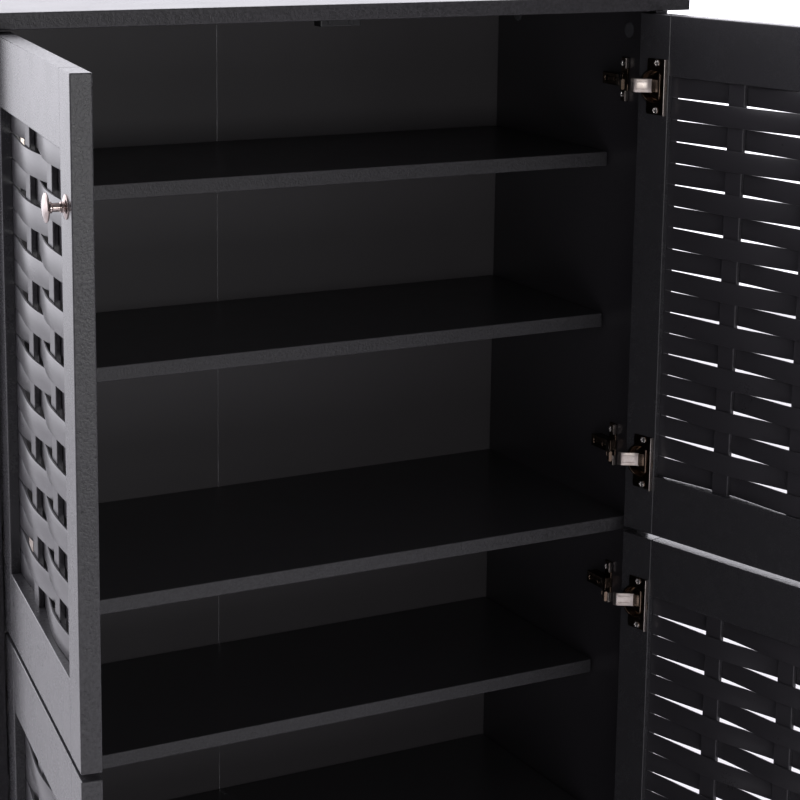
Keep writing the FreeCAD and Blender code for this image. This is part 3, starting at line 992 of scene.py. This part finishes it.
@dataclass
class HingeArms:
    """The fixed half of the concealed hinges: arms, mounting plates and screws.

    Points are drawn as (inward from the side panel, back from the front edge, up).
    """

    workshop: Workshop
    levels: tuple[float, ...]
    body: str = "cabinet"
    half_inner: float = 349.0
    front: float = -29.5
    axis_inward: float = 3.2
    axis_back: float = 2.2
    nose_radius: float = 29.4
    nose_from: float = 10.5
    nose_to: float = 41.0
    arm_back: float = 74.0
    arm_inward: float = 10.4
    arm_bend: float = 45.0
    arm_wide: float = 13.0
    arm_thick: float = 3.4
    body_deep: float = 31.0
    body_wide: float = 12.0
    wing_back: float = 49.0
    wing_deep: float = 12.0
    wing_long: float = 46.0
    wing_thick: float = 2.4
    screw_step: float = 16.0
    ear_tall: float = 2.4
    ear_thick: float = 1.6
    ear_half: float = 5.5
    ear_at: float = 17.0
    wood_screw: Pair = (3.5, 1.7)
    large_screw: Pair = (3.6, 1.9)
    small_screw: Pair = (2.6, 1.6)
    screw_lift: float = 1.4
    large_from_back: float = 7.0
    small_from_bend: float = 6.0
    rib_half: Pair = (0.7, 2.2)
    taper: float = 0.18

    def build(self) -> None:
        """Builds the arms, the plates with their ears, and the screws."""
        # The arms and plate pressings take nickel darkened with painted shade. The ears of the same
        # plates keep the plain nickel as the lit part.
        groups = [
            ("hinge_arm_pressings", self.arm(), Slot.SMOKED_NICKEL, "hinge_arms"),
            ("hinge_plate_pressings", self.plate(), Slot.SMOKED_NICKEL, "hinge_mounting_plates"),
            ("hinge_plate_ears", self.ears(), Slot.NICKEL_STEEL, "hinge_mounting_plates"),
            ("hinge_plate_screw_heads", self.screws(), Slot.BRIGHT_STEEL, "hinge_plate_screws"),
        ]
        for name, shells, slot, node in groups:
            placed = [shell.moved(self.on_side(side, level)) for side in (-1, 1)
                      for level in self.levels for shell in shells]
            self.workshop.piece(name, placed, slot, self.body, [node])

    def on_side(self, side: int, level: float) -> Callable[[Array], Array]:
        """The mapping from a hinge's own frame on a side panel to the cabinet's frame."""
        return lambda points: np.stack([side * (self.half_inner - points[:, 0]),
                                        self.front + points[:, 1], level + points[:, 2]], -1)

    def centre_line(self) -> Array:
        """The arm's centre line: straight along the panel, a slope, an arc round the door's axis.

        Returns:
            The line's points, with its bends softened.
        """
        turn = np.radians(np.linspace(self.nose_to, self.nose_from, 7))
        nose = np.stack([self.axis_inward + self.nose_radius * np.cos(turn),
                         self.axis_back + self.nose_radius * np.sin(turn), 0.0 * turn], -1)
        run = np.linspace(0.0, 1.0, 9)[:-1, None]
        corner = np.array([[self.arm_inward, self.arm_bend, 0.0]])
        straight = corner + (1.0 - run) * np.array([[0.0, self.arm_back - self.arm_bend, 0.0]])
        slope = corner + run * (nose[:1] - corner)
        return softened(np.concatenate([straight, slope, nose]))

    def arm(self) -> list[Shell]:
        """One pressed arm with a raised rib, and its two adjusting screws.

        Returns:
            The strip, the rib and both screws.
        """
        path = self.centre_line()
        share = np.linspace(0.0, 1.0, len(path))
        wide = 1.0 - self.taper * np.clip((share - 0.35) / 0.3, 0.0, 1.0)
        grow = np.stack([np.ones(len(path)), wide], -1)
        half = self.arm_thick / 2
        strip = carried(rounded_section(half, self.arm_wide / 2, 1.2), path, grow)
        rib_path = path[2:-5] + np.array([half - 0.1, 0.0, 0.0])
        rib = carried(rounded_section(*self.rib_half, 0.6), rib_path)
        face = self.arm_inward + self.screw_lift
        screws = ((self.large_screw, self.arm_back - self.large_from_back),
                  (self.small_screw, self.arm_bend + self.small_from_bend))
        return [strip, rib, *(screw_head(*size).stood((face, back, 0.0), (1, 0, 0))
                              for size, back in screws)]

    def plate(self) -> list[Shell]:
        """One cross-shaped mounting plate: a block under the arm and a wing up and down.

        Returns:
            The block and the wing.
        """
        half = self.body_wide / 2
        block = rounded_board((-0.2, self.arm_back - self.body_deep, -half),
                              (self.arm_inward - self.arm_thick / 2, self.arm_back, half), 0.8, 1.0)
        front = self.wing_back - self.wing_deep / 2
        tall, back = self.wing_long / 2, front + self.wing_deep
        wing = rounded_board((-0.2, front, -tall), (self.wing_thick, back, tall), 1.0, 1.0)
        return [block, wing]

    def ears(self) -> list[Shell]:
        """The two upturned front lips of one mounting plate's wing.

        Returns:
            Both lips.
        """
        front, tall = self.wing_back - self.wing_deep / 2, self.wing_thick + self.ear_tall
        return [rounded_board((0.1, front, level - self.ear_half),
                              (tall, front + self.ear_thick, level + self.ear_half), 0.6, 0.5)
                for level in (-self.ear_at, self.ear_at)]

    def screws(self) -> list[Shell]:
        """The two wood screws of one mounting plate."""
        spots = [(self.wing_thick, self.wing_back + 1.5, level)
                 for level in (-self.screw_step, self.screw_step)]
        return [screw_head(*self.wood_screw).stood(spot, (1, 0, 0)) for spot in spots]


# ---- Doors ----


@dataclass
class DoorPlace:
    """Where a door hangs and how far it stands open."""

    side: Side
    bottom: float
    axis: Pair
    opening: float
    axis_u: float = 1.2
    axis_v: float = 14.8

    def __call__(self, points: Array) -> Array:
        """Door points (u, v, w) swung open and put in the cabinet's frame.

        Args:
            points: points in the door's own frame.

        Returns:
            The same points in the cabinet's frame.
        """
        turn = math.radians(self.opening)
        along, back = points[:, 0] - self.axis_u, self.axis_v - points[:, 1]
        swung_along = along * math.cos(turn) + back * math.sin(turn)
        swung_back = -along * math.sin(turn) + back * math.cos(turn)
        return np.stack([self.axis[0] - self.side.value * swung_along,
                         self.axis[1] + swung_back, self.bottom + points[:, 2]], -1)


@dataclass
class WovenDoor:
    """A framed door with thin slats woven past two upright bars."""

    workshop: Workshop
    storey: Storey
    place: DoorPlace
    width: float = 346.0
    height: float = 542.0
    thick: float = 17.0
    stile: float = 40.0
    top_rail: float = 61.0
    bottom_rail: float = 63.0
    frame_round: float = 1.0
    rail_round: float = 0.8
    rail_sunk: float = 0.25
    bar_wide: float = 20.0
    bar_thick: float = 5.0
    bar_tenon: float = 6.0
    bar_round: float = 0.7
    slat_count: int = 19
    slat_gap: float = 0.8
    slat_thick: float = 2.0
    slat_reach: float = 3.8
    slat_round: float = 0.8
    slat_tenon: float = 1.0
    weave_plane: float = 7.0
    weave_starts: dict[Side, int] = field(default_factory=lambda: {Side.LEFT: -1, Side.RIGHT: 1})
    knob_drop: float = 101.0
    strike_inset: float = 11.0
    strike_radius: float = 7.0
    strike_margin: float = 1.0

    @property
    def name(self) -> str:
        """The door's name in the cabinet's node names."""
        return f"{self.storey.value}_{self.place.side.name.lower()}"

    @property
    def window(self) -> Pair:
        """The lower and upper level of the woven field."""
        return self.bottom_rail, self.height - self.top_rail

    @property
    def bars_at(self) -> list[float]:
        """Where each upright bar starts, from the hinge edge."""
        bay = (self.width - 2 * self.stile - 2 * self.bar_wide) / 3
        return [self.stile + bay, self.stile + 2 * bay + self.bar_wide]

    def build(self) -> None:
        """Builds the frame, the weave, the knob and the strike disc."""
        name, body = self.name, self.name + "_door"
        self.workshop.dress(name + "_hinge_stile", Slot.DOOR_FRAME)
        parts = [
            ("free_stile", [self.free_stile()], Slot.DOOR_FRAME),
            ("top_rail", [self.rail(self.window[1], self.height)], Slot.DOOR_FRAME),
            ("bottom_rail", [self.rail(0.0, self.window[0])], Slot.DOOR_FRAME),
            ("bars", self.bars(), Slot.DOOR_BARS),
            ("slats", self.slats(), Slot.DOOR_SLATS),
            ("knob", [self.knob()], Slot.POLISHED_NICKEL),
            ("strike_plate", [self.strike()], Slot.BRIGHT_STEEL),
        ]
        for part, shells, slot in parts:
            placed = [shell.moved(self.place) for shell in shells]
            self.workshop.piece(f"{name}_{part}_made", placed, slot, body, [f"{name}_{part}"])

    def free_stile(self) -> Shell:
        """The full-height stile at the opening edge."""
        return rounded_board((self.width - self.stile, 0.0, 0.0),
                             (self.width, self.thick, self.height), self.frame_round)

    def rail(self, low: float, high: float) -> Shell:
        """A rail between the stiles, a little thinner than they are."""
        return rounded_board((self.stile, self.rail_sunk, low),
                             (self.width - self.stile, self.thick - self.rail_sunk, high),
                             self.rail_round)

    def bars(self) -> list[Shell]:
        """The two upright bars of the weave.

        Returns:
            Both bars.
        """
        back, front = (self.weave_plane + sign * self.bar_thick / 2 for sign in (-1, 1))
        low, high = self.window[0] - self.bar_tenon, self.window[1] + self.bar_tenon
        return [rounded_board((u, back, low), (u + self.bar_wide, front, high), self.bar_round)
                for u in self.bars_at]

    def lean(self, u: Array) -> Array:
        """How far a slat leans out of the middle plane.

        The lean is a half cosine wave from nothing at the stile to full reach over the first
        bar, a full swing to the other side over the second bar, and back to nothing.

        Args:
            u: places along the slat.

        Returns:
            The share of the reach, between -1 and 1.
        """
        end = self.width - self.stile
        first = self.bars_at[0] + self.bar_wide / 2
        second = self.width - first
        spans = ((self.stile, first), (first, second), (second, end))
        rising, crossing, falling = (
            1 - np.cos(np.pi * np.clip((u - start) / (stop - start), 0.0, 1.0))
            for start, stop in spans)
        return rising / 2 - crossing + falling / 2

    def slats(self) -> list[Shell]:
        """All slats; neighbours pass the bars on opposite sides.

        Returns:
            The slats from the top one down.
        """
        low, high = self.window
        pitch = (high - low) / self.slat_count
        u = np.linspace(self.stile - self.slat_tenon, self.width - self.stile + self.slat_tenon, 49)
        section = rounded_section(self.slat_thick / 2, (pitch - self.slat_gap) / 2,
                                  self.slat_round, 2)
        shells = []
        for index in range(self.slat_count):
            side = self.weave_starts[self.place.side] * (1 if index % 2 == 0 else -1)
            v = self.weave_plane + side * self.slat_reach * self.lean(u)
            level = np.full_like(u, high - (index + 0.5) * pitch)
            shells.append(carried(section, np.stack([u, v, level], -1)))
        return shells

    def knob(self) -> Shell:
        """A turned knob: a lens-shaped base, a waisted stem and a thin domed head.

        Returns:
            The knob on the free stile.
        """
        profile = [(0.0, -0.5), (9.5, -0.5), (9.5, 0.7), (8.9, 1.3), (6.5, 2.1), (4.3, 2.6),
                   (4.1, 3.0), (4.3, 3.4), (4.3, 4.2), (3.8, 4.6), (3.4, 5.0), (3.3, 10.2),
                   (3.9, 10.7), (4.4, 11.2), (4.4, 12.2), (4.0, 12.7), (7.0, 13.2), (10.2, 13.9),
                   (11.2, 14.5), (11.5, 15.1), (11.2, 15.8), (9.4, 16.7), (6.5, 17.4),
                   (3.2, 17.8), (0.0, 17.9)]
        centre = (self.width - self.stile / 2, self.thick, self.height - self.knob_drop)
        return turned(profile, 48).stood(centre, (0, 1, 0))

    def strike(self) -> Shell:
        """The steel disc that meets the magnet.

        Returns:
            The disc on the door's inner face.
        """
        radius = self.strike_radius
        disc = turned([(0.0, -0.4), (radius, -0.4), (radius, 0.5), (radius - 0.3, 0.78),
                       (2.2, 0.8), (1.6, 0.45), (0.0, 0.4)], 32)
        margin = radius + self.strike_margin
        level = self.height - margin if self.storey is Storey.UPPER else margin
        return disc.stood((self.width - self.strike_inset, 0.0, level), (0, -1, 0))


@dataclass
class HingeCups:
    """The moving half of a door's two concealed hinges."""

    workshop: Workshop
    door: WovenDoor
    centre_u: float = 20.5
    levels: Pair = (76.0, 469.0)
    cup_radius: float = 17.4
    cup_wall: float = 1.3
    cup_deep: float = 11.3
    flange_u: Pair = (12.0, 38.0)
    lip_tall: float = 4.0
    screw_u: float = 25.0
    flange_long: float = 58.0
    flange_thick: float = 1.2
    rim_radius: float = 18.0
    screw_step: float = 24.0
    link_wide: float = 14.0
    link_thick: float = 1.7
    link_root: Pair = (16.0, 2.7)
    rib_half: float = 3.6
    pin_half: float = 13.5
    pin_radius: float = 2.0
    cup_screw: Pair = (3.4, 1.6)

    def build(self) -> None:
        """Builds the cups, the links with the lips, and the screws."""
        name = self.door.name
        # The cups and flanges take nickel darkened with painted shade. The flange's lip and the
        # links keep the plain nickel as the lit parts.
        groups = [
            ("hinge_cups", [*self.cup(), *self.knuckle()], Slot.SMOKED_NICKEL, "hinge_cups"),
            ("hinge_links", [self.lip(), *self.link()], Slot.NICKEL_STEEL, "hinge_cups"),
            ("cup_screws", self.screws(), Slot.BRIGHT_STEEL, "cup_screws"),
        ]
        for part, shells, slot, node in groups:
            placed = [shell.moved(self.lifted(level)).moved(self.door.place)
                      for level in self.levels for shell in shells]
            self.workshop.piece(f"{name}_{part}_made", placed, slot, name + "_door",
                                [f"{name}_{node}"])

    def lifted(self, level: float) -> Callable[[Array], Array]:
        """The mapping that raises a piece to a level."""
        return lambda points: points + np.array([0.0, 0.0, level])

    def outline(self, angle: Array) -> Array:
        """The flange's outer radius: the larger of a round rim and the wing's straight sides.

        Args:
            angle: the directions from the cup's centre.

        Returns:
            The radius in each direction.
        """
        right, left = self.flange_u[1] - self.centre_u, self.centre_u - self.flange_u[0]
        run, rise = np.cos(angle), np.sin(angle)
        sideways = np.where(run >= 0, right, left) / np.maximum(abs(run), 1e-6)
        upright = self.flange_long / 2 / np.maximum(abs(rise), 1e-6)
        return np.maximum(self.rim_radius, np.minimum(sideways, upright) - 0.8)

    def cup(self) -> list[Shell]:
        """The bowl and the flange with its wings.

        Returns:
            Both shells.
        """
        radius, inner, deep = self.cup_radius, self.cup_radius - self.cup_wall, self.cup_deep
        bowl = turned([(0.0, deep), (radius - 1.0, deep), (radius, deep - 1.0), (radius, 0.0),
                       (radius - 0.4, -0.7), (inner, -0.5), (inner - 0.3, 2.0),
                       (inner - 0.4, deep - 3.2), (inner - 1.6, deep - 1.6),
                       (inner - 3.0, deep - 1.1), (0.0, deep - 1.1)], 56)
        centre = (self.centre_u, 0.0, 0.0)
        flange = pierced_plate(self.outline, inner, 0.0, self.flange_thick, 0.3)
        return [bowl.stood(centre, (0, 1, 0)), flange.moved(self.facing_in(centre))]

    def lip(self) -> Shell:
        """The raised lip along the flange's far side."""
        half, far = self.flange_long / 2 - 0.4, self.flange_u[1]
        return rounded_board((far - self.flange_thick, -self.lip_tall, -half), (far, 0.0, half),
                             0.5, 0.5)

    def facing_in(self, centre: Sequence[float]) -> Callable[[Array], Array]:
        """The mapping that lays a plate drawn in X and Y on the door's inner face."""
        return lambda points: np.stack([points[:, 0], -points[:, 2], points[:, 1]], -1) + centre

    def bent(self, corners: Sequence[Sequence[float]]) -> Array:
        """A path through corners in (u, v), with its bends softened.

        Args:
            corners: the corners.

        Returns:
            The path, with six steps from corner to corner.
        """
        corner = np.array(corners)
        share = np.linspace(0.0, len(corner) - 1.0, 6 * (len(corner) - 1) + 1)
        u, v = (np.interp(share, range(len(corner)), corner[:, k]) for k in (0, 1))
        return softened(np.stack([u, v, 0.0 * share], -1))

    def link(self) -> list[Shell]:
        """The bent plate that leaves the cup, with two pressed ribs.

        Returns:
            The plate and both ribs.
        """
        path = self.bent([self.link_root, (12.5, 0.6), (3.2, -9.4), (-0.9, -10.3)])
        web = carried(rounded_section(self.link_thick / 2, self.link_wide / 2, 0.6), path)
        rib = rounded_section(0.35, 0.45, 0.3)
        return [web, *(carried(rib, path[6:13] + np.array([0.9, -0.6, level]))
                       for level in (-self.rib_half, self.rib_half))]

    def knuckle(self) -> list[Shell]:
        """The link's rolled root in the cup and the pin across it.

        Returns:
            The root and the pin.
        """
        u, v = self.link_root
        path = self.bent([(u - 0.3, v - 0.2), (u + 4.5, v + 2.0), (u + 7.5, v + 4.6)])
        root = carried(rounded_section(self.link_thick / 2, self.link_wide / 2 - 0.6, 0.6), path)
        half, radius = self.pin_half, self.pin_radius
        pin = turned([(0.0, -half), (radius - 0.4, -half), (radius, 0.4 - half),
                      (radius, half - 0.4), (radius - 0.4, half), (0.0, half)], 18)
        return [root, pin.stood((u + 7.5, v + 2.9, 0.0), (0, 0, 1))]

    def screws(self) -> list[Shell]:
        """The two screws of one cup."""
        spots = [(self.screw_u, -self.flange_thick, level)
                 for level in (-self.screw_step, self.screw_step)]
        return [screw_head(*self.cup_screw).stood(spot, (0, -1, 0)) for spot in spots]


# ---- Studio ----


@dataclass
class Studio:
    """A pale floor, a soft bright surround and the camera."""

    surround: Triple = (1.0, 0.985, 1.06)
    level_back: float = 2.4
    level_front: float = 0.25
    level_down: float = 0.36
    back_span: Pair = (-0.35, 0.65)
    down_span: Pair = (-0.3, -0.05)
    box_at: Triple = (-0.25, -2.4, 0.97)
    box_aim: Triple = (-0.1, 0.0, 0.97)
    box_size: Pair = (1.0, 0.45)
    box_power: float = 9.0
    floor_reach: float = 3.2
    floor_level: float = -0.0002
    view_far: float = 60.0
    lens: float = 99.388
    sensor: float = 36.0
    shift: Pair = (-0.03341, -0.13962)
    camera_at: Triple = (-0.95575, -1.8821, 1.35404)
    camera_turn: Triple = (78.428, -0.878, -29.2015)

    def build(self) -> None:
        """Builds the floor, the surround and the camera."""
        self.floor()
        self.light()
        self.soft_box()
        self.camera()

    def floor(self) -> None:
        """A flat square under the cabinet, cut from a unit square by its reach."""
        corners = np.array([[-1, -1, 0], [1, -1, 0], [1, 1, 0], [-1, 1, 0]]) * self.floor_reach
        mesh = bpy.data.meshes.new("studio_floor")
        mesh.from_pydata(corners.tolist(), [], [(0, 1, 2, 3)])
        mesh.materials.append(PaleFloor().build("studio_floor"))
        made = linked("studio_floor", mesh)
        made.location.z = self.floor_level
        LOG.info("studio floor laid")

    def light(self) -> None:
        """A soft surround: bright behind the cabinet, dimmer in front and below."""
        recipe = Recipe(bpy.data.worlds.new("studio"), "ShaderNodeBackground",
                        "ShaderNodeOutputWorld")
        source = recipe.node("ShaderNodeTexCoord", {}, {}).outputs["Generated"]
        parts = recipe.node("ShaderNodeSeparateXYZ", {}, {0: source}).outputs
        depth = recipe.between(parts[1], self.back_span, (self.level_front, self.level_back))
        height = recipe.between(parts[2], self.down_span, (self.level_down, 1.0))
        recipe.set({"Color": (*self.surround, 1.0), "Strength": depth * height})
        bpy.context.scene.world = recipe.owner
        LOG.info("studio surround lit")

    def soft_box(self) -> None:
        """One wide soft light in front, behind the camera and to its right."""
        data = bpy.data.lights.new("soft_box", "AREA")
        data.shape = "RECTANGLE"
        data.size, data.size_y = self.box_size
        data.energy = self.box_power
        made = linked("soft_box", data)
        made.location = self.box_at
        aim = Vector(self.box_aim) - made.location
        made.rotation_euler = aim.to_track_quat("-Z", "Y").to_euler()
        LOG.info("soft box hung")

    def camera(self) -> None:
        """The camera at standing height, looking down into the open cabinet."""
        data = bpy.data.cameras.new("camera")
        data.lens, data.sensor_width = self.lens, self.sensor
        data.shift_x, data.shift_y = self.shift
        data.clip_end = self.view_far
        made = linked("camera", data)
        made.location = self.camera_at
        made.rotation_euler = Euler([math.radians(angle) for angle in self.camera_turn])
        bpy.context.scene.camera = made
        bpy.context.scene.view_settings.view_transform = "Standard"
        LOG.info("camera set")


def hang(storey: Storey, side: Side, joints: Sequence[dict[str, Any]]) -> DoorPlace:
    """Where a door hangs, from its joint and its hinge stile.

    Args:
        storey: the row of doors.
        side: the hinge side.
        joints: the cabinet's joints.

    Returns:
        The door's place.
    """
    name = f"{storey.value}_{side.name.lower()}"
    joint = next(entry for entry in joints if entry["name"] == name + "_door_hinge")
    x, y, _ = joint["pos_m"]
    opening = -joint["range_deg"][0]
    return DoorPlace(side, limits(name + "_hinge_stile")[0][2], (x / MM, y / MM), opening)


def main() -> None:
    """Loads the cabinet, dresses it piece by piece and lights it."""
    logging.basicConfig(level=logging.INFO, format="%(name)s: %(message)s")
    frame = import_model()
    workshop = Workshop(FINISHES, frame["nodes"])
    Carcass(workshop).build()
    Fittings(workshop).build()
    levels = []
    for storey in Storey:
        for side in Side:
            door = WovenDoor(workshop, storey, hang(storey, side, frame["joints"]))
            door.build()
            cups = HingeCups(workshop, door)
            cups.build()
            levels += [door.place.bottom + level for level in cups.levels]
    HingeArms(workshop, tuple(sorted(set(np.round(levels, 3).tolist())))).build()
    Studio().build()


if __name__ == "__main__":
    main()
